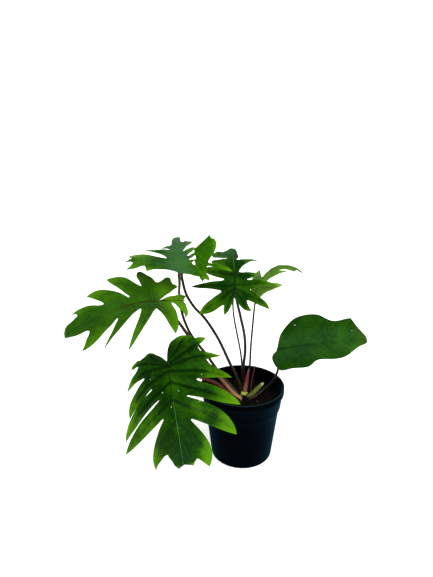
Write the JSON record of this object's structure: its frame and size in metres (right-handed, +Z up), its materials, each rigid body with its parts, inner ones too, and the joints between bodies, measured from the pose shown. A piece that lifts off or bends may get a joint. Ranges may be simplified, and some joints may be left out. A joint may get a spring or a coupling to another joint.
{
  "type": "potted philodendron mayoi",
  "caption": "Leafy pot plant: deeply lobed leaves on slender stalks rising from soil in a plain round nursery pot; it stands on its flat base.",
  "frame": {"origin": "centre of the pot's flat base", "axes": "+Z up along the pot's axis, +X to the right as seen from the front, -Y towards the front, where the largest leaf hangs"},
  "size_m": [0.4068, 0.271, 0.3224],
  "materials": {
    "pot": "satin",
    "soil": "matte",
    "stem": "satin",
    "sheath_olive": "satin",
    "sheath_pink": "matte",
    "petiole": "satin",
    "leaf": "gloss",
    "young_leaf": "satin"
  },
  "bodies": {
    "root": {"pot": "pot", "soil": "soil", "stem": "stem", "sheath_olive": "sheath_olive", "sheath_strand": "sheath_pink", "sheath_pink": "sheath_pink", "blade_front": "leaf", "petiole_front": "petiole", "blade_left": "leaf", "petiole_left": "petiole", "blade_top": "leaf", "petiole_top": "petiole", "blade_centre": "leaf", "petiole_centre": "petiole", "blade_young": "young_leaf", "petiole_young": "petiole", "blade_right": "leaf", "petiole_right": "petiole", "blade_behind_top": "leaf", "petiole_behind_top": "petiole", "blade_behind_centre": "young_leaf", "petiole_behind_centre": "petiole"}
  },
  "joints": []
}
